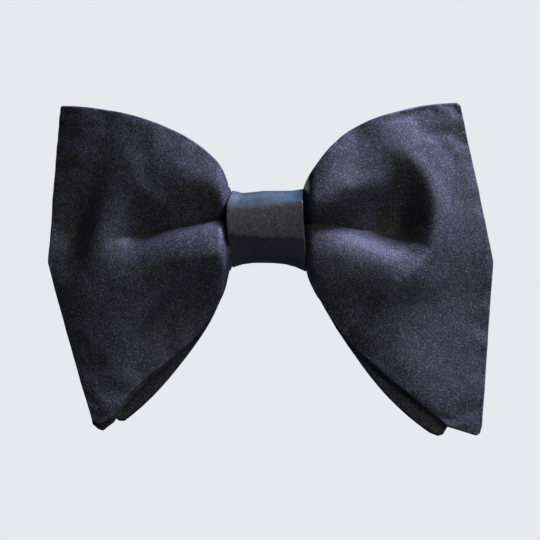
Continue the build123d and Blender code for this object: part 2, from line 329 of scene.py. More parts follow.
def right_folds(a, b, u, v):
    """How far forward each point of the right wing stands from its plain curve, in millimetres."""
    depth = near_knot(a) + rolled_edge(1 - v, u, (5.6, 4.6, 4.8, 5.8, 4.2), 0.28)
    depth += rolled_edge(v, u, (2.0, 1.6, 0.8, 0.4, 0.4), 0.08)
    beside_knot = smoothstep(-0.02, 0.06, a) * (1 - smoothstep(0.04, 0.3, a))
    depth += 3.0 * beside_knot * smoothstep(0.02, 0.14, b)
    upper_lobe = [(-0.16, 0.06), (0.2, 0.23), (0.46, 0.34)]
    depth += fold(a, b, upper_lobe, (4.2, 2.9, 2.4), (0.24, 0.34, 0.38), (0.08, 0.12, 0.15))
    lower_swell = [(-0.1, -0.04), (0.2, -0.09), (0.46, -0.16)]
    depth += fold(a, b, lower_swell, (0.8, 1.2, 1.8), (0.12, 0.12, 0.12), (0.24, 0.3, 0.26))
    under_lobe = [
        (0.0, 0.028, 5.0, 0.04, 0.06),
        (0.14, 0.005, 5.2, 0.07, 0.065),
        (0.3, -0.022, 6.4, 0.12, 0.065),
        (0.48, -0.052, 6.6, 0.17, 0.07),
        (0.64, -0.1, 1.4, 0.14, 0.1),
        (0.74, -0.13, 0.0, 0.12, 0.12),
        (1.1, -0.2, 0.0, 0.12, 0.12),
    ]
    depth += crease(a, b, under_lobe)
    hollow = [(0.43, 0.0), (0.51, 0.02), (0.53, 0.17)]
    depth += fold(a, b, hollow, (-3.6, -8.5, -5.5), (0.18, 0.19, 0.17), (0.08, 0.09, 0.1))
    inner_swell = [(0.22, 0.2), (0.4, 0.22)]
    depth += fold(a, b, inner_swell, (1.0, 1.2), (0.06, 0.07), (0.06, 0.07))
    rim = [(0.46, 0.44), (0.58, 0.34), (0.66, 0.18), (0.68, 0.0)]
    rim += [(0.61, -0.17), (0.44, -0.37), (0.31, -0.58)]
    outside = (0.14, 0.12, 0.09, 0.08, 0.06, 0.06, 0.07)
    inside = (0.06,) * 4 + (0.05,) * 3
    depth += fold(a, b, rim, (0.8, 2.0, 3.0, 2.8, 2.8, 2.8, 1.6), outside, inside)
    lower_hollow = [(0.1, -0.36), (0.26, -0.5), (0.36, -0.6)]
    depth += fold(a, b, lower_hollow, (-0.8, -1.1, -0.4), (0.16, 0.16, 0.14), (0.3, 0.4, 0.4))
    outer_hollow = [(0.5, -0.44), (0.66, -0.42), (0.78, -0.36)]
    depth += fold(a, b, outer_hollow, (-1.4, -2.0, -0.8), (0.11, 0.11, 0.12), (0.4, 0.5, 0.5))
    lower_lobe = [(0.4, -0.66), (0.6, -0.82), (0.85, -1.0)]
    depth += fold(a, b, lower_lobe, (0.4, 0.5, 0.3), (0.18, 0.22, 0.22), (0.14, 0.18, 0.2))
    for start, end, deep in (((0.68, 0.5), (0.8, 0.34), 0.35), ((0.62, 0.4), (0.78, 0.14), 0.4)):
        depth += fold(a, b, [start, end], (-deep, -deep * 0.6), (0.04, 0.04), (0.04, 0.04))
    return depth


def left_folds(a, b, u, v):
    """How far forward each point of the left wing stands from its plain curve, in millimetres."""
    depth = near_knot(a) + rolled_edge(1 - v, u, (4.0, 3.6, 2.6, 3.4, 3.4), 0.24)
    depth += rolled_edge(v, u, (2.0, 1.6, 0.8, 0.4, 0.4), 0.08)
    upper_lobe = [(-0.1, 0.16), (0.1, 0.3), (0.26, 0.42)]
    depth += fold(a, b, upper_lobe, (4.2, 3.4, 1.6), (0.14, 0.18, 0.2), (0.1, 0.17, 0.26))
    lower_lobe = [(-0.12, -0.13), (0.1, -0.17), (0.3, -0.2)]
    depth += fold(a, b, lower_lobe, (4.4, 4.2, 2.6), (0.16, 0.17, 0.17), (0.15, 0.18, 0.2))
    under_lobe = [
        (0.0, 0.04, 6.0, 0.07, 0.02),
        (0.12, 0.024, 7.0, 0.12, 0.025),
        (0.27, -0.012, 6.0, 0.16, 0.035),
        (0.46, -0.052, 8.4, 0.22, 0.075),
        (0.62, -0.066, 2.4, 0.24, 0.12),
        (0.76, -0.09, 0.0, 0.24, 0.14),
        (1.1, -0.1, 0.0, 0.24, 0.14),
    ]
    depth += crease(a, b, under_lobe)
    upper_ridge = [(0.6, 0.5), (0.53, 0.36), (0.47, 0.22), (0.36, 0.12)]
    depth += fold(a, b, upper_ridge, (0.3, 0.7, 0.9, 0.5), (0.08,) * 4, (0.06, 0.05, 0.045, 0.05))
    outer_valley = [(0.7, 0.4), (0.77, 0.18), (0.83, -0.02), (0.86, -0.2)]
    widths = (0.12,) * 4, (0.1, 0.09, 0.07, 0.08)
    depth += fold(a, b, outer_valley, (-0.6, -4.0, -8.0, -2.5), *widths)
    lower_step = [
        (0.0, -0.12, 2.0, 0.16),
        (0.14, -0.17, 4.4, 0.14),
        (0.3, -0.3, 5.0, 0.14),
        (0.45, -0.45, 4.2, 0.16),
        (0.6, -0.62, 1.6, 0.24),
        (0.8, -0.8, 0.0, 0.24),
        (1.1, -1.0, 0.0, 0.24),
    ]
    depth += step_down(a, b, lower_step)
    swept_back = 4.5 * np.maximum(a, 0) ** 1.4
    rolled_end = 2.5 * smoothstep(0.78, 1.02, a)
    return depth - swept_back - rolled_end


def wrinkled(grid, seed, waves):
    """A grid with soft uneven relief: waves lists (feature size in metres, height in millimetres)."""
    for number, (size, height) in enumerate(waves):
        shift = Vector([(seed + 3 * number) * step for step in (3.7, 1.9, 5.3)])
        relief = [[noise.noise(Vector((x, 0, z)) / size + shift) for x, _, z in row] for row in grid]
        grid[..., 1] -= height * MM * np.array(relief)
    return grid


# -------- the two bows

TUCK_WIDTH, TUCK_DEPTH = 1.7 * MM, 3.6 * MM  # how sharply a wing dives behind the knot's edges
UNDER_KNOT = 0.6 * MM  # how far under the knot's edges each wing starts
INSIDE_KNOT = (0.02, 0.05, 0.1, 0.18, 0.3, 0.42, 0.58, 0.7, 0.82, 0.9, 0.95, 0.98)  # grid columns
WAIST_GATHER = 0.42  # how much the cloth is squeezed together inside the knot
GATHER_SHARE = 0.12  # how far into the knot it is fully gathered
WAIST_SINK = 1.5 * MM  # how far back the cloth lies inside the knot
REAR_ROOM = (0.3, 5.2, 7.0, 3.8, 1.0)  # millimetres of air between the bows, from the knot outwards
OUTER_EASE = 0.8 * MM  # the wings' ends reach this much further, so curved wings look full size
PEEK_SHARE = 0.12  # how much of the lower edge is pulled up to show the lining
PLY_SMOOTHING = 30, 10  # rounds along and up the sheet, before its plies are set apart
SIMULATED = 3  # every third row and column of a sheet takes part in the cloth simulation
SETTLING_FRAMES = 20
SETTLING_LIMIT = 0.5 * MM  # the furthest a point may move from its laid-out fold


def middle_depth(face, lining):
    """The CAD cloth's middle, as how far in front of the neck axis it is at each x."""
    trees = []
    for node in (face, lining):
        work = bmesh.new()
        work.from_mesh(frame["nodes"][node].data)
        trees.append(BVHTree.FromBMesh(work))
        work.free()
    low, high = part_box(face)
    found = []
    for x in np.linspace(low.x, high.x, 81):
        front = trees[0].ray_cast(Vector((x, -1.0, 0.0)), Vector((0, 1, 0)))[0]
        back = trees[1].ray_cast(Vector((x, 1.0, 0.0)), Vector((0, -1, 0)))[0]
        if front and back:
            found.append((x, -(front.y + back.y) / 2, back.y - front.y))
    xs, middle, thickness = np.array(found).T
    return xs, middle, float(np.median(thickness))


def spacing(count, both=True, strength=0.6):
    """Shares from 0 to 1, closer together at the end (or at both ends)."""
    s = np.linspace(0, 1, count)
    if both:
        return (1 - strength) * s + strength * (0.5 - 0.5 * np.cos(math.pi * s))
    return (1 - strength) * s + strength * np.sin(math.pi / 2 * s)


def bow_grid(face, lining, folds, rows, columns):
    """The middle surface of one bow, from its left end to its right end."""
    xs, middle, thickness = middle_depth(face, lining)
    cut = min(-knot_low.x, knot_high.x) - UNDER_KNOT
    up, along = spacing(rows), spacing(columns, both=False)
    blocks = []
    for side in (-1, 1):
        flat = patch(wing_sides(face, side, cut), along, up)
        x, z = flat[..., 0], flat[..., 1]
        length = max(side * bow_low.x, side * bow_high.x) - cut
        a, b = (side * x - cut) / length, z / length
        x = x + side * OUTER_EASE * np.clip(a, 0, 1)
        u, v = np.broadcast_to(along[None], a.shape), np.broadcast_to(up[:, None], a.shape)
        tucked = np.exp(-((a * length / TUCK_WIDTH) ** 2))
        forward = np.interp(x, xs, middle) + MM * folds[side](a, b, u, v) - TUCK_DEPTH * tucked
        blocks.append(np.stack([x, -forward, z], -1))
    left, right = blocks[0][:, ::-1], blocks[1]
    shares = np.array(INSIDE_KNOT)
    inner = left[:, -1:] * (1 - shares)[None, :, None] + right[:, :1] * shares[None, :, None]
    gathered = smoothstep(0, GATHER_SHARE, np.minimum(shares, 1 - shares))
    inner[..., 2] *= 1 - WAIST_GATHER * gathered[None]
    inner[..., 1] += WAIST_SINK * gathered[None]
    return np.concatenate([left, inner, right], 1), thickness


def softened(values, axis, times):
    """A grid smoothed along one axis, with its first and last lines kept."""
    inside = [slice(None)] * values.ndim
    inside[axis] = slice(1, -1)
    soft = values.copy()
    for _ in range(times):
        mixed = (np.roll(soft, 1, axis) + 2 * soft + np.roll(soft, -1, axis)) / 4
        soft[tuple(inside)] = mixed[tuple(inside)]
    return soft


def every(count):
    """Every few of a run of numbers, always with the last one."""
    return np.unique(np.append(np.arange(0, count, SIMULATED), count - 1))


def spread(values, kept, count, axis):
    """Values known at some rows (or columns) filled in at all of them, without corners."""
    full = np.apply_along_axis(lambda line: np.interp(np.arange(count), kept, line), axis, values)
    return softened(full, axis, SIMULATED)


def cloth_of(piece, held):
    """Cloth settings for heavy satin, with no gravity and a slight push from behind."""
    group = piece.vertex_groups.new(name="held")
    for index, share in enumerate(held.ravel()):
        group.add([index], float(share), "REPLACE")
    cloth = piece.modifiers.new("cloth", "CLOTH")
    settings = cloth.settings
    settings.vertex_group_mass = "held"
    settings.quality = 6
    settings.mass = 0.2
    settings.tension_stiffness = settings.compression_stiffness = 12
    settings.shear_stiffness = 4
    settings.bending_stiffness = 2
    settings.shrink_min = -0.008
    settings.use_pressure = True
    settings.uniform_pressure_force = 4
    settings.effector_weights.gravity = 0
    cloth.point_cache.frame_start, cloth.point_cache.frame_end = 1, SETTLING_FRAMES


def settled(grid):
    """The sheet after a short cloth simulation, held by its sewn edges and by the knot."""
    rows, columns = grid.shape[:2]
    down, across = every(rows), every(columns)
    coarse = grid[np.ix_(down, across)]
    held = np.zeros(coarse.shape[:2])
    held[[0, -1]] = held[:, [0, -1]] = 1
    held[abs(coarse[..., 0]) < knot_high.x + 1.5 * MM] = 1
    piece = new_object("settling", coarse.reshape(-1, 3), grid_faces(len(down), len(across)))
    cloth_of(piece, held)
    for number in range(1, SETTLING_FRAMES + 1):
        bpy.context.scene.frame_set(number)
    shaped = piece.evaluated_get(bpy.context.evaluated_depsgraph_get())
    moved = np.array([v.co for v in shaped.data.vertices]).reshape(coarse.shape)
    bpy.data.objects.remove(piece)
    bpy.context.scene.frame_set(1)
    shift = moved - coarse
    size = np.linalg.norm(shift, axis=2, keepdims=True) + 1e-12
    shift *= SETTLING_LIMIT * np.tanh(size / SETTLING_LIMIT) / size
    return grid + spread(spread(shift, down, rows, 0), across, columns, 1)


def sheet_normals(grid):
    """The forward direction at every point of a grid."""
    down, across = np.gradient(grid, axis=0), np.gradient(grid, axis=1)
    normal = np.cross(across, down)
    normal /= np.linalg.norm(normal, axis=2, keepdims=True) + 1e-15
    return normal * -np.sign(normal[..., 1].mean())


def padded_sheet(name, grid, thickness, rim):
    """A closed sheet of cloth round a middle surface, with rounded edges."""
    rows, columns = grid.shape[:2]
    normal = sheet_normals(grid)
    rim_points = np.concatenate([grid[0], grid[-1], grid[:, 0], grid[:, -1]])
    flat = grid.reshape(-1, 3)
    gap = np.array([np.sqrt(((rim_points - p) ** 2).sum(1).min()) for p in flat])
    half = thickness / 2 * rounding(gap.reshape(rows, columns), rim)[..., None]
    front, back = grid + normal * half, grid - normal * half
    number = np.arange(rows * columns).reshape(rows, columns)
    inside = np.zeros((rows, columns), bool)
    inside[1:-1, 1:-1] = True
    other = number.copy()
    other[inside] = rows * columns + np.arange(inside.sum())
    vertices = np.concatenate([front.reshape(-1, 3), back[inside]])
    faces = grid_faces(rows, columns)
    faces += [tuple(other.flat[i] for i in quad[::-1]) for quad in grid_faces(rows, columns)]
    piece = new_object(name, vertices, faces)
    outward(piece)
    planar_uv(piece, (1, 0, 0), (0, 0, 1))
    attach(piece, "bow_and_band")
    return piece


def two_plies(name, grid, thickness, left_peek, right_peek):
    """The face and the lining of one bow, sewn together round the edge.

    The lining's lower edge shows below the face's: each peek lists how far, in millimetres from
    the knot to that wing's tip.
    """
    smooth = softened(softened(grid, 1, PLY_SMOOTHING[0]), 0, PLY_SMOOTHING[1])
    normal = sheet_normals(smooth)
    edge = grid[0, :, 0]
    reach = abs(edge) / abs(edge).max()
    lift = np.where(edge < 0, along_run(left_peek, reach), along_run(right_peek, reach)) * MM
    ply, rim = thickness / 2, 0.5 * MM
    face = grid + normal * ply / 2
    face[..., 2] += lift * np.exp(-np.linspace(0, 1, len(grid))[:, None] / PEEK_SHARE)
    lining = (grid - normal * ply / 2)[::2]
    face = padded_sheet(name + "_face_satin", face, ply, rim)
    return face, padded_sheet(name + "_shaded_lining_satin", lining, ply, rim)


def front_bow():
    """The front bow: both wings and the waist between them."""
    folds = {-1: left_folds, 1: right_folds}
    grid, thickness = bow_grid("front_bow_face", "front_bow_lining", folds, rows=161, columns=110)
    grid = wrinkled(grid, 1.0, ((0.021, 0.22), (0.008, 0.13), (0.004, 0.05)))
    left_peek, right_peek = (0.0, 0.0, 0.6, 2.0, 2.6, 2.2), (0.0, 0.0, 0.1, 0.2, 0.2, 0.0)
    face, lining = two_plies("front_bow", settled(grid), thickness, left_peek, right_peek)
    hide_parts("front_bow_face")
    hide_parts("front_bow_lining", "front_bow_interlining")
    return face, lining


def rear_folds(folds, edge):
    """Folds of the rear bow, which follows the front one's creases and swells the other way.

    edge is how far forward its lower edge curls, in millimetres.
    """

    def depth(a, b, u, v):
        front = folds(a, b, u, v)
        swell = -2.2 * np.exp(-(((a - 0.45) / 0.3) ** 2) - ((b + 0.1) / 0.5) ** 2)
        lower_edge = edge * np.exp(-((v / 0.2) ** 2)) * smoothstep(0.1, 0.5, u)
        room = np.interp(a, (0, 0.26, 0.53, 0.8, 1), REAR_ROOM)
        following = 0.45 * np.minimum(front, 0) - 0.25 * np.maximum(front, 0)
        return np.minimum(swell + following + lower_edge, front + room)

    return depth


def rear_bow():
    """The rear bow, which shows below the front one's lower edges and from behind."""
    folds = {-1: rear_folds(left_folds, -6.5), 1: rear_folds(right_folds, 5.5)}
    grid, thickness = bow_grid("rear_bow_face", "rear_bow_lining", folds, rows=121, columns=80)
    grid = wrinkled(grid, 2.0, ((0.024, 0.4), (0.009, 0.15)))
    shown = (0.0, 0.0, 0.2, 0.5, 0.5, 0.4)
    face, lining = two_plies("rear_bow", settled(grid), thickness, shown, shown)
    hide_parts("rear_bow_face")
    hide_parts("rear_bow_lining", "rear_bow_interlining")
    return face, lining


# -------- the knot


def cut_corners(points, times, share):
    """Rounds a closed polygon by cutting its corners."""
    for _ in range(times):
        step = np.roll(points, -1, axis=0) - points
        points = np.stack([points + share * step, points + (1 - share) * step], 1).reshape(-1, 2)
        share = 0.25
    return points


def knot_section(x):
    """The outside of the knot's wrap at x, as (y, z) all the way round, starting behind."""
    front, back = knot_low.y, knot_high.y
    lean = (x - knot_low.x) / (knot_high.x - knot_low.x)
    top = MM * along_run((13.6, 12.6, 12.9, 13.3, 13.3, 13.3, 13.4, 14.0), lean)
    bottom = MM * along_run((-14.6, -13.4, -12.9, -12.9, -13.0, -13.4, -14.4, -16.2), lean)
    upper_fold = MM * along_run((6.6, 6.8, 7.3, 8.2, 9.4), lean)
    lower_fold = MM * along_run((-2.9, -3.6, -4.2, -4.2, -4.2), lean)
    corners = [
        (back, bottom + 3.6 * MM),
        (back, 0.0),
        (back, top - 3.6 * MM),
        (back - 2.6 * MM, top - 0.3 * MM),
        (front + 8.4 * MM, top),
        (front + 4.9 * MM, top - 2.3 * MM),
        (front + 1.2 * MM, upper_fold),
        (front, lower_fold),
        (front + 5.2 * MM, bottom + 2.8 * MM),
        (front + 9.0 * MM, bottom),
        (back - 2.6 * MM, bottom + 0.3 * MM),
    ]
    return np.array(corners)


def knot_row(x, times, share):
    """The points round the knot at x, with this much rounding of its corners."""
    section = cut_corners(knot_section(x), times, share)
    return np.column_stack([np.full(len(section), x), section])


def uneven_edges(outer, share):
    """Draws the wrap's side edges in, by millimetres listed for heights from -1 to 1."""
    height = (outer[0, :, 2] - knot_middle_z) / (knot_high.z - knot_low.z) * 2
    left = np.interp(height, [-1, -0.2, 0.25, 0.65, 1], [2.2, 0.4, 0.0, 0.3, 2.2]) * MM
    right = np.interp(height, [-1, -0.4, 0.2, 0.6, 1], [0.0, 0.5, 1.1, 1.3, 1.0]) * MM
    outer[..., 0] += left * (1 - share) - right * share


def outward_normals(outer):
    """The direction away from the knot's inside at every point of the wrap."""
    around = np.roll(outer, -1, axis=1) - np.roll(outer, 1, axis=1)
    normal = np.cross(around, np.array([1.0, 0, 0]))
    normal /= np.linalg.norm(normal, axis=2, keepdims=True)
    centre = np.array([0, (knot_low.y + knot_high.y) / 2, knot_middle_z])
    return normal * np.sign(((outer - centre) * normal).sum(2).mean())


def knot_wrap():
    """The strip of satin wrapped round the waist, folded in at both edges."""
    count, thickness, rim = 60, 1.1 * MM, 0.35 * MM
    share = spacing(count, strength=0.5)
    xs = knot_low.x + (knot_high.x - knot_low.x) * share
    outer = np.array([knot_row(x, 5, 0.1) for x in xs])
    uneven_edges(outer, share[:, None])
    wave = [[noise.noise(Vector((x * 25, y * 90, z * 90))) for x, y, z in row] for row in outer]
    normal = outward_normals(outer)
    outer += normal * (np.array(wave) * 0.25 * MM)[..., None]
    edge = np.minimum(outer[..., 0] - outer[:1, :, 0], outer[-1:, :, 0] - outer[..., 0])
    sink = rim * (1 - rounding(edge, rim))
    skin = outer - normal * sink[..., None]
    inner = outer - normal * (thickness - sink)[..., None]
    rings = np.concatenate([skin, inner[::-1][1:-1]], 0)
    faces = tube_faces(len(rings), rings.shape[1], closed=True)
    piece = new_object("knot_wrap_satin", rings.reshape(-1, 3), faces)
    outward(piece)
    planar_uv(piece, (1, 0, 0), (0, 0.3, 1))
    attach(piece, "bow_and_band")
    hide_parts("knot_wrap")
    return piece


def knot_padding():
    """The pad of wadding inside the wrap, in front of the bound waist."""
    low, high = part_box("knot_padding")
    share_of_wrap, count = 0.8, 24
    rings = []
    for share in spacing(count, strength=0.5):
        row = knot_row(low.x + (high.x - low.x) * share, 4, 0.15)
        section = row[:, 1:]
        middle_z = (section[:, 1].max() + section[:, 1].min()) / 2
        middle = np.array([(knot_low.y + high.y) / 2, middle_z])
        swell = share_of_wrap * (1 - 0.25 * abs(2 * share - 1) ** 6)
        section[:] = middle + (section - middle) * swell
        behind = section[:, 0] > high.y
        shown = section[~behind, 1]
        section[behind, 0] = high.y
        section[behind, 1] = section[behind, 1].clip(shown.min(), shown.max())
        rings.append(row)
    sides = len(rings[0])
    faces = tube_faces(count, sides)
    faces += [tuple(range(sides)), tuple(range((count - 1) * sides, count * sides))[::-1]]
    piece = new_object("knot_padding_felt", np.concatenate(rings), faces)
    outward(piece)
    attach(piece, "bow_and_band")
    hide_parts("knot_padding")
    return piece


# -------- the neck band

BAR_RADIUS, BAR_GAP, PLY = 0.85 * MM, 0.05 * MM, 1.2 * MM  # a bar, the room and the cloth round it
FACE_POINTS = 25  # points across each face of a strap
RING_STEP = 0.9 * MM  # the distance between a strap's rings of points
SEAM_ANGLE = -100.0  # where the band's left seam stands, in degrees from the front
STEP_ANGLES = (72.0, 80.0)  # between these the band steps out from the collar, on each side
SLIDE_ANGLE = 105.0  # where the slide stands at rest
SLIDE_BAR_OUT = 2.15 * MM  # how far the slide's bar stands off the band
PLY_GAP = 0.2 * MM  # air between the band and the ply over it


def place(radius, degrees_round):
    """The point at this distance from the neck axis, at an angle counted from the front."""
    angle = math.radians(degrees_round)
    return np.array([radius * math.sin(angle), -radius * math.cos(angle)])


def angle_of(point):
    """The angle of a point round the neck axis, counted from the front."""
    return math.degrees(math.atan2(point[0], -point[1]))


def pin_of(joint):
    """Where a pivot stands, seen from above."""
    return np.array(joints[joint]["pos_m"][:2])


def arc_points(radius, start, end):
    """Points round the neck axis between two angles."""
    count = max(3, int(abs(end - start) / 1.5))
    return [place(radius, angle) for angle in np.linspace(start, end, count)]


def round_pin(pin, radius, start, end, step=12):
    """Points round a pin, between two angles counted from its outward side."""
    outward_angle = math.atan2(pin[1], pin[0])
    count = max(3, int(abs(end - start) / step))
    return [
        pin + radius * np.array([math.cos(outward_angle + t), math.sin(outward_angle + t)])
        for t in np.radians(np.linspace(start, end, count))
    ]


def strap(name, path, width, thickness, seed):
    """A flat satin tube along a path seen from above, with soft pressed edges."""
    length = np.linalg.norm(np.diff(path, axis=0), axis=1).sum()
    count = int(length / RING_STEP) + 2
    path = resample(path, np.linspace(0, 1, count))
    tangent = np.gradient(path, axis=0)
    tangent /= np.linalg.norm(tangent, axis=1, keepdims=True)
    normal = np.stack([tangent[:, 1], -tangent[:, 0]], 1)
    last = FACE_POINTS - 1
    across = np.concatenate([np.linspace(-1, 1, FACE_POINTS), np.linspace(1, -1, FACE_POINTS)[1:-1]])
    across = np.sign(across) * abs(across) ** 0.8
    ring = len(across)
    upper = np.where(np.arange(ring) <= last, 1.0, -1.0)
    upper[[0, last]] = 0
    pressed = np.sqrt(1 - np.clip((abs(across) - 0.93) / 0.07, 0, 1) ** 2)
    seam = 1 - 0.16 * np.exp(-(((abs(across) - 0.86) / 0.03) ** 2))
    vertices = []
    for i, (point, side) in enumerate(zip(path, normal)):
        uneven = 1 + 0.001 * noise.noise(Vector((i * 0.09, seed, 0)))
        for w, face, p, s in zip(across, upper, pressed, seam):
            ripple = 0.05 * abs(face) * noise.noise(Vector((i * 0.25, w * 3, seed + face)))
            offset = thickness * (face / 2 * max(p, 0.05) * s + ripple)
            vertices.append((*(point + side * offset), width / 2 * w * uneven))
    faces = tube_faces(count, ring)
    for base in (0, (count - 1) * ring):
        for j in range(last):
            corners = [base + j, base + j + 1, base + (ring - j - 1) % ring, base + (ring - j) % ring]
            faces.append(tuple(dict.fromkeys(corners)))
    piece = new_object(name, vertices, faces)
    set_uv(piece, np.array([(i * length / count, w * width / 2) for i in range(count) for w in across]))
    outward(piece)
    piece.data.set_sharp_from_angle(angle=math.radians(50))
    return piece


rear_radius = np.hypot(*pin_of("eye_pivot")) - (BAR_RADIUS + BAR_GAP + PLY)
pin_round = BAR_RADIUS + band_thickness / 2
pin_angle = angle_of(pin_of("eye_pivot"))


def collar_path(start, end):
    """The band's middle line round the collar, with its step out on each side."""
    points = []
    for angle in np.linspace(start, end, int(abs(end - start) / 1.2)):
        out = smoothstep(STEP_ANGLES[0] - 3, STEP_ANGLES[1] + 3, abs(angle))
        radius = neck_radius + out * (rear_radius - neck_radius) + band_thickness / 2
        points.append(place(radius, angle))
    return points


def neck_band():
    """The band from its left seam round the front to the eye, looped round the eye's bar."""
    path = collar_path(SEAM_ANGLE, pin_angle - 1.5)
    path += round_pin(pin_of("eye_pivot"), pin_round, 180, -10)
    piece = strap("neck_band_satin", path, band_width, band_thickness, 1.0)
    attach(piece, "bow_and_band")
    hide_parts("neck_band", "neck_band_stiffener")
    return piece


def hook_end():
    """The left end of the band, which folds outwards and loops round the hook's bar."""
    path = collar_path(SEAM_ANGLE, -pin_angle + 1.5)
    path += round_pin(pin_of("hook_pivot"), pin_round, -180, 20)
    turned_back = rear_radius + 1.5 * band_thickness + BAR_GAP
    path += arc_points(turned_back, -pin_angle + 3, -pin_angle + 11)
    piece = strap("hook_end_satin", path, band_width, band_thickness, 2.0)
    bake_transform(piece)
    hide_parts("neck_band_hook_end")
    return piece


def adjuster_loop():
    """The ply that runs back from the eye to the slide's bar, and is sewn down over itself."""
    bar = place(rear_radius + band_thickness + SLIDE_BAR_OUT, SLIDE_ANGLE)
    ply = rear_radius + 1.5 * band_thickness + PLY_GAP
    path = round_pin(pin_of("eye_pivot"), pin_round + BAR_GAP, -10, -40, step=6)
    path += arc_points(ply, pin_angle - 4.5, SLIDE_ANGLE + 1.5)
    path += round_pin(bar, pin_round, 180, 360 - 20)
    path += arc_points(ply + band_thickness + BAR_GAP, SLIDE_ANGLE + 3, SLIDE_ANGLE + 11)
    piece = strap("adjuster_satin", path, band_width, band_thickness, 3.0)
    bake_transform(piece)
    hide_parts("adjuster_loop")
    return piece


# -------- stitches


def islands(node):
    """The box round each separate solid of a CAD node, as its two corners and its middle."""
    work = bmesh.new()
    work.from_mesh(frame["nodes"][node].data)
    bmesh.ops.remove_doubles(work, verts=work.verts, dist=SAME_PLACE)
    todo, boxes = set(work.verts), []
    while todo:
        start = todo.pop()
        group, queue = [start], [start]
        while queue:
            for edge in queue.pop().link_edges:
                for vert in edge.verts:
                    if vert in todo:
                        todo.discard(vert)
                        group.append(vert)
                        queue.append(vert)
        points = np.array([v.co for v in group])
        boxes.append((points.min(0), points.max(0), points.mean(0)))
    work.free()
    return sorted(boxes, key=lambda item: tuple(np.round(item[2], 6)))


def beside_stitch(centre, along):
    """A direction square to a stitch that runs along x, y or z: away from the neck for z."""
    if along != Z:
        return -np.eye(3)[along + 1]
    return np.array([centre[0], centre[1], 0.0]) / np.hypot(centre[0], centre[1])


def thread(name, node, body, along, radius):
    """A row of stitches, one for each solid of a CAD node, each a short length of twisted thread."""
    vertices, faces = [], []
    sides, steps = 10, 14
    for number, (low, high, centre) in enumerate(islands(node)):
        half = (high[along] - low[along]) / 2
        away, run = beside_stitch(centre, along), np.eye(3)[along]
        cross = np.cross(away, run)
        base = len(vertices)
        slant = 0.12 * math.sin(number * 2.3)
        for t in np.linspace(-1, 1, steps + 1):
            girth = radius * math.sqrt(max(1 - abs(t) ** 5, 0.04))
            middle = centre + half * t * (run + slant * cross)
            for angle in np.linspace(0, 2 * math.pi, sides, endpoint=False):
                twist = 1 + 0.12 * math.cos(2 * (angle + 9 * t))
                spoke = math.cos(angle) * away + math.sin(angle) * cross
                vertices.append(middle + girth * twist * spoke)
        faces += tube_faces(steps + 1, sides, base)
        end = base + steps * sides
        faces += [tuple(range(base, base + sides)), tuple(range(end, end + sides))[::-1]]
    piece = new_object(name, vertices, faces)
    outward(piece)
    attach(piece, body)
    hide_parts(node)
    return piece


# -------- materials


def material(name):
    """A node material with its output and one Principled shader."""
    made = bpy.data.materials.new(name)
    made.use_nodes = True
    nodes, links = made.node_tree.nodes, made.node_tree.links
    nodes.clear()
    output = nodes.new("ShaderNodeOutputMaterial")
    shader = nodes.new("ShaderNodeBsdfPrincipled")
    links.new(shader.outputs[0], output.inputs[0])
    return made, nodes, links, shader


def noise_texture(nodes, links, scale, detail):
    """Solid noise, in features per metre."""
    position = nodes.new("ShaderNodeTexCoord")
    texture = nodes.new("ShaderNodeTexNoise")
    texture.inputs["Scale"].default_value = scale
    texture.inputs["Detail"].default_value = detail
    links.new(position.outputs["Object"], texture.inputs["Vector"])
    return texture.outputs["Fac"]


def ramp_of(nodes, links, value, stops):
    """A colour ramp through (position, colour) stops."""
    ramp = nodes.new("ShaderNodeValToRGB")
    band = ramp.color_ramp
    while len(band.elements) < len(stops):
        band.elements.new(0.5)
    for element, (position, color) in zip(band.elements, stops):
        element.position, element.color = position, (*color, 1)
    links.new(value, ramp.inputs["Fac"])
    return ramp.outputs["Color"]


def mapped(nodes, links, value, low, high, to_low, to_high):
    """A value moved from one range to another."""
    change = nodes.new("ShaderNodeMapRange")
    limits = {"From Min": low, "From Max": high, "To Min": to_low, "To Max": to_high}
    for socket, number in limits.items():
        change.inputs[socket].default_value = number
    links.new(value, change.inputs["Value"])
    return change.outputs["Result"]


def roughen(nodes, links, shader, height, strength, distance):
    """Gives a shader fine relief."""
    bump = nodes.new("ShaderNodeBump")
    bump.inputs["Strength"].default_value = strength
    bump.inputs["Distance"].default_value = distance
    links.new(height, bump.inputs["Height"])
    links.new(bump.outputs[0], shader.inputs["Normal"])


def weighted_sum(nodes, links, terms):
    """The sum of (value, weight) terms."""
    total = None
    for value, weight in terms:
        step = nodes.new("ShaderNodeMath")
        step.operation = "MULTIPLY_ADD"
        links.new(value, step.inputs[0])
        step.inputs[1].default_value = weight
        step.inputs[2].default_value = 0
        if total:
            links.new(total, step.inputs[2])
        total = step.outputs[0]
    return total


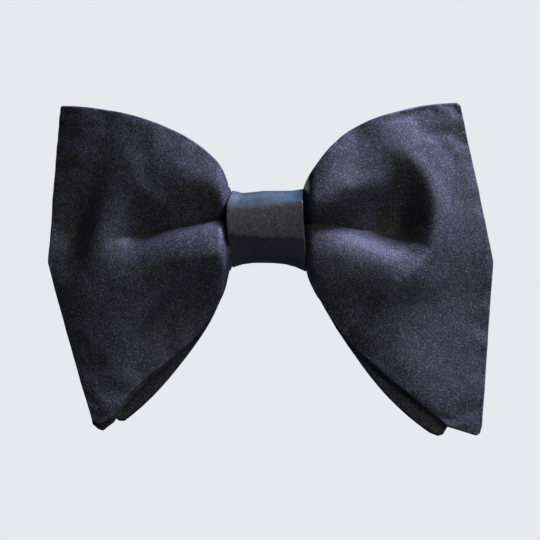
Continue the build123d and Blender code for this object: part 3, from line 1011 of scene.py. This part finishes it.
def satin(name, dark, bright, painted_glint, rough, gloss):
    """Heavy satin: nearly black, with a broad sheen, fine grain whose brightest specks are painted highlights, and
    a faint weave.
    """
    made, nodes, links, shader = material(name)
    grain = noise_texture(nodes, links, 2300, 2.0)
    cloud = noise_texture(nodes, links, 60, 3.0)
    slub = noise_texture(nodes, links, 420, 3.0)
    position = nodes.new("ShaderNodeTexCoord")
    weave = nodes.new("ShaderNodeTexWave")
    weave.wave_type = "BANDS"
    weave.bands_direction = "DIAGONAL"
    weave.inputs["Scale"].default_value = 900
    weave.inputs["Distortion"].default_value = 1.5
    links.new(position.outputs["UV"], weave.inputs["Vector"])
    tone = weighted_sum(nodes, links, [(grain, 0.86), (slub, 0.14)])
    # the last stop paints tiny bright specks into the colour as painted highlights; the first two stops are random
    # grain
    color = ramp_of(nodes, links, tone, [(0.38, dark), (0.56, bright), (0.68, painted_glint)])
    links.new(color, shader.inputs["Base Color"])
    uneven = mapped(nodes, links, cloud, 0.3, 0.7, rough - 0.05, rough + 0.07)
    links.new(uneven, shader.inputs["Roughness"])
    height = weighted_sum(nodes, links, [(grain, 1.0), (slub, 1.2), (weave.outputs["Fac"], 0.2)])
    roughen(nodes, links, shader, height, 0.5, 0.12 * MM)
    shader.inputs["Specular IOR Level"].default_value = gloss
    shader.inputs["Sheen Weight"].default_value = 0.08
    shader.inputs["Sheen Roughness"].default_value = 0.5
    shader.inputs["Sheen Tint"].default_value = (0.55, 0.6, 0.85, 1)
    return made


def metal():
    """Dull, darkened nickel plate with fine rubbing marks."""
    made, nodes, links, shader = material("nickel_plate")
    marks = noise_texture(nodes, links, 900, 5.0)
    tint = ramp_of(nodes, links, marks, [(0.0, (0.09, 0.087, 0.082)), (1.0, (0.17, 0.166, 0.157))])
    links.new(tint, shader.inputs["Base Color"])
    links.new(mapped(nodes, links, marks, 0.0, 1.0, 0.42, 0.56), shader.inputs["Roughness"])
    shader.inputs["Metallic"].default_value = 1.0
    roughen(nodes, links, shader, marks, 0.08, 0.05 * MM)
    return made


def plain_fibre(name, dark, bright, scale):
    """Matt fibres: sewing thread or felt."""
    made, nodes, links, shader = material(name)
    fibre = noise_texture(nodes, links, scale, 6.0)
    tint = ramp_of(nodes, links, fibre, [(0.0, dark), (1.0, bright)])
    links.new(tint, shader.inputs["Base Color"])
    shader.inputs["Roughness"].default_value = 0.75
    roughen(nodes, links, shader, fibre, 0.5, 0.1 * MM)
    return made


def paint(piece, made):
    """Gives a piece one material."""
    piece.data.materials.clear()
    piece.data.materials.append(made)


def backdrop_material():
    """Even pale grey to the camera, dark to the cloth, so the satin keeps its depth."""
    made, nodes, links, shader = material("pale_floor")
    shader.inputs["Base Color"].default_value = (0.03, 0.03, 0.035, 1)
    shader.inputs["Roughness"].default_value = 0.9
    glow = nodes.new("ShaderNodeEmission")
    glow.inputs["Color"].default_value = (0.807, 0.815, 0.855, 1)
    seen = nodes.new("ShaderNodeLightPath")
    mix = nodes.new("ShaderNodeMixShader")
    links.new(seen.outputs["Is Camera Ray"], mix.inputs[0])
    links.new(shader.outputs[0], mix.inputs[1])
    links.new(glow.outputs[0], mix.inputs[2])
    links.new(mix.outputs[0], nodes["Material Output"].inputs[0])
    return made


# -------- the object

# each satin's dark and middle grain colours, and its brightest colour for specks painted in as highlights
NAVY = (0.009, 0.009, 0.009), (0.048, 0.048, 0.05), (0.15, 0.15, 0.155)
# the lining's own olive tone, made darker than the face satin as painted shade for the deep gap between the plies
SHADED_OLIVE_BLACK = (0.007, 0.007, 0.005), (0.032, 0.032, 0.024), (0.09, 0.09, 0.075)
OLIVE_GREY = (0.013, 0.013, 0.01), (0.038, 0.038, 0.028), (0.08, 0.08, 0.066)
BLUE_BLACK = (0.01, 0.011, 0.014), (0.03, 0.031, 0.04), (0.08, 0.08, 0.1)

cloth = satin("bow_satin", *NAVY, 0.56, 0.3)
shaded_lining_cloth = satin("shaded_lining_satin", *SHADED_OLIVE_BLACK, 0.6, 0.2)
knot_cloth = satin("knot_satin", *OLIVE_GREY, 0.32, 0.55)
band_cloth = satin("band_satin", *BLUE_BLACK, 0.4, 0.5)
nickel = metal()
sewing = plain_fibre("sewing_thread", (0.008, 0.009, 0.015), (0.03, 0.032, 0.05), 2500)
felt = plain_fibre("wadding_felt", (0.55, 0.54, 0.5), (0.8, 0.79, 0.75), 600)

for face, lining in (front_bow(), rear_bow()):
    paint(face, cloth)
    paint(lining, shaded_lining_cloth)
paint(knot_wrap(), knot_cloth)
for strip in (neck_band(), hook_end(), adjuster_loop()):
    paint(strip, band_cloth)
paint(thread("closing_stitches", "knot_closing_stitches", "bow_and_band", X, 0.22 * MM), sewing)
paint(thread("tacking_stitches", "band_tacking_stitches", "bow_and_band", Y, 0.25 * MM), sewing)
paint(thread("hook_end_stitching", "hook_end_stitches", "hook_end", Z, 0.22 * MM), sewing)
paint(thread("adjuster_stitching", "adjuster_stitches", "slider", Z, 0.22 * MM), sewing)
paint(frame["nodes"]["waist_binding"], sewing)
paint(knot_padding(), felt)
for part in ("slide", "eye", "hook"):
    fitting = frame["nodes"][part]
    paint(fitting, nickel)
    soft_edge = fitting.modifiers.new("edge", "BEVEL")
    soft_edge.width = 0.12 * MM
    soft_edge.segments = 2
    soft_edge.limit_method = "ANGLE"
    fitting.data.polygons.foreach_set("use_smooth", [True] * len(fitting.data.polygons))
    fitting.data.set_sharp_from_angle(angle=math.radians(35))

# -------- stage, light and camera


def stage():
    """A round pale floor that curves up into a wall on every side."""
    low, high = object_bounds()
    floor_z, flat, bend, wall, turns = low.z - 0.03, 2.2, 0.8, 3.0, 64
    profile = [(0.02, floor_z), (flat, floor_z)]
    for angle in np.linspace(0, math.pi / 2, 12)[1:]:
        profile.append((flat + bend * math.sin(angle), floor_z + bend * (1 - math.cos(angle))))
    profile.append((flat + bend, floor_z + wall))
    vertices, faces = [], []
    for turn in range(turns):
        way = 2 * math.pi * turn / turns
        vertices += [(radius * math.cos(way), radius * math.sin(way), z) for radius, z in profile]
    count = len(profile)
    for turn in range(turns):
        here, there = turn * count, (turn + 1) % turns * count
        faces += [(here + i, there + i, there + i + 1, here + i + 1) for i in range(count - 1)]
    faces.append(tuple(turn * count for turn in range(turns))[::-1])
    floor = new_object("floor", vertices, faces)
    paint(floor, backdrop_material())
    floor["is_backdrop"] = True


def soft_light(name, stand, aim, size, power, color):
    """A rectangular softbox."""
    data = bpy.data.lights.new(name, "AREA")
    data.shape, data.size, data.size_y = "RECTANGLE", size[0], size[1]
    data.energy, data.color = power, color
    lamp = bpy.data.objects.new(name, data)
    bpy.context.scene.collection.objects.link(lamp)
    lamp.location = stand
    lamp.rotation_euler = (Vector(aim) - Vector(stand)).to_track_quat("-Z", "Y").to_euler()


def lights():
    """A bluish softbox high on the right, weak fills in front and behind, and a dim sky."""
    bow = (0, (knot_low.y + knot_high.y) / 2, 0)
    soft_light("overhead", (0.6, -0.2, 0.88), bow, (0.4, 0.35), 52, (0.56, 0.56, 1.0))
    soft_light("front_fill", (0.75, -1.4, 0.75), bow, (0.9, 0.6), 8.5, (1.0, 0.96, 0.78))
    soft_light("sky", (0.1, 0.2, 0.95), bow, (0.6, 0.4), 3.4, (0.2, 0.5, 1.0))
    soft_light("back_fill", (-0.4, 1.3, 0.12), bow, (0.8, 0.6), 7, (0.95, 0.97, 1.0))
    world = bpy.data.worlds.new("studio")
    bpy.context.scene.world = world
    world.use_nodes = True
    background = world.node_tree.nodes["Background"]
    background.inputs["Color"].default_value = (0.6, 0.6, 0.62, 1)
    background.inputs["Strength"].default_value = 0.01


FRAMING = 1.215  # how much wider the picture is than the bow
FOCUS_DEPTH = -0.074  # where the picture is that wide


def camera():
    """A long lens straight in front of the bow."""
    data = bpy.data.cameras.new("camera")
    data.lens, data.sensor_width = 135, 36
    eye = bpy.data.objects.new("camera", data)
    bpy.context.scene.collection.objects.link(eye)
    frame_width = (bow_high.x - bow_low.x) * FRAMING
    aim = (bow_low + bow_high) / 2 + Vector((0.2 * MM, 0, -0.4 * MM))
    aim.y = FOCUS_DEPTH
    eye.location = aim - Vector((0, frame_width * data.lens / data.sensor_width, 0))
    eye.rotation_euler = (math.pi / 2, 0, 0)
    data.clip_start = 0.01
    bpy.context.scene.camera = eye


stage()
lights()
camera()
bpy.context.scene.view_settings.view_transform = "Standard"
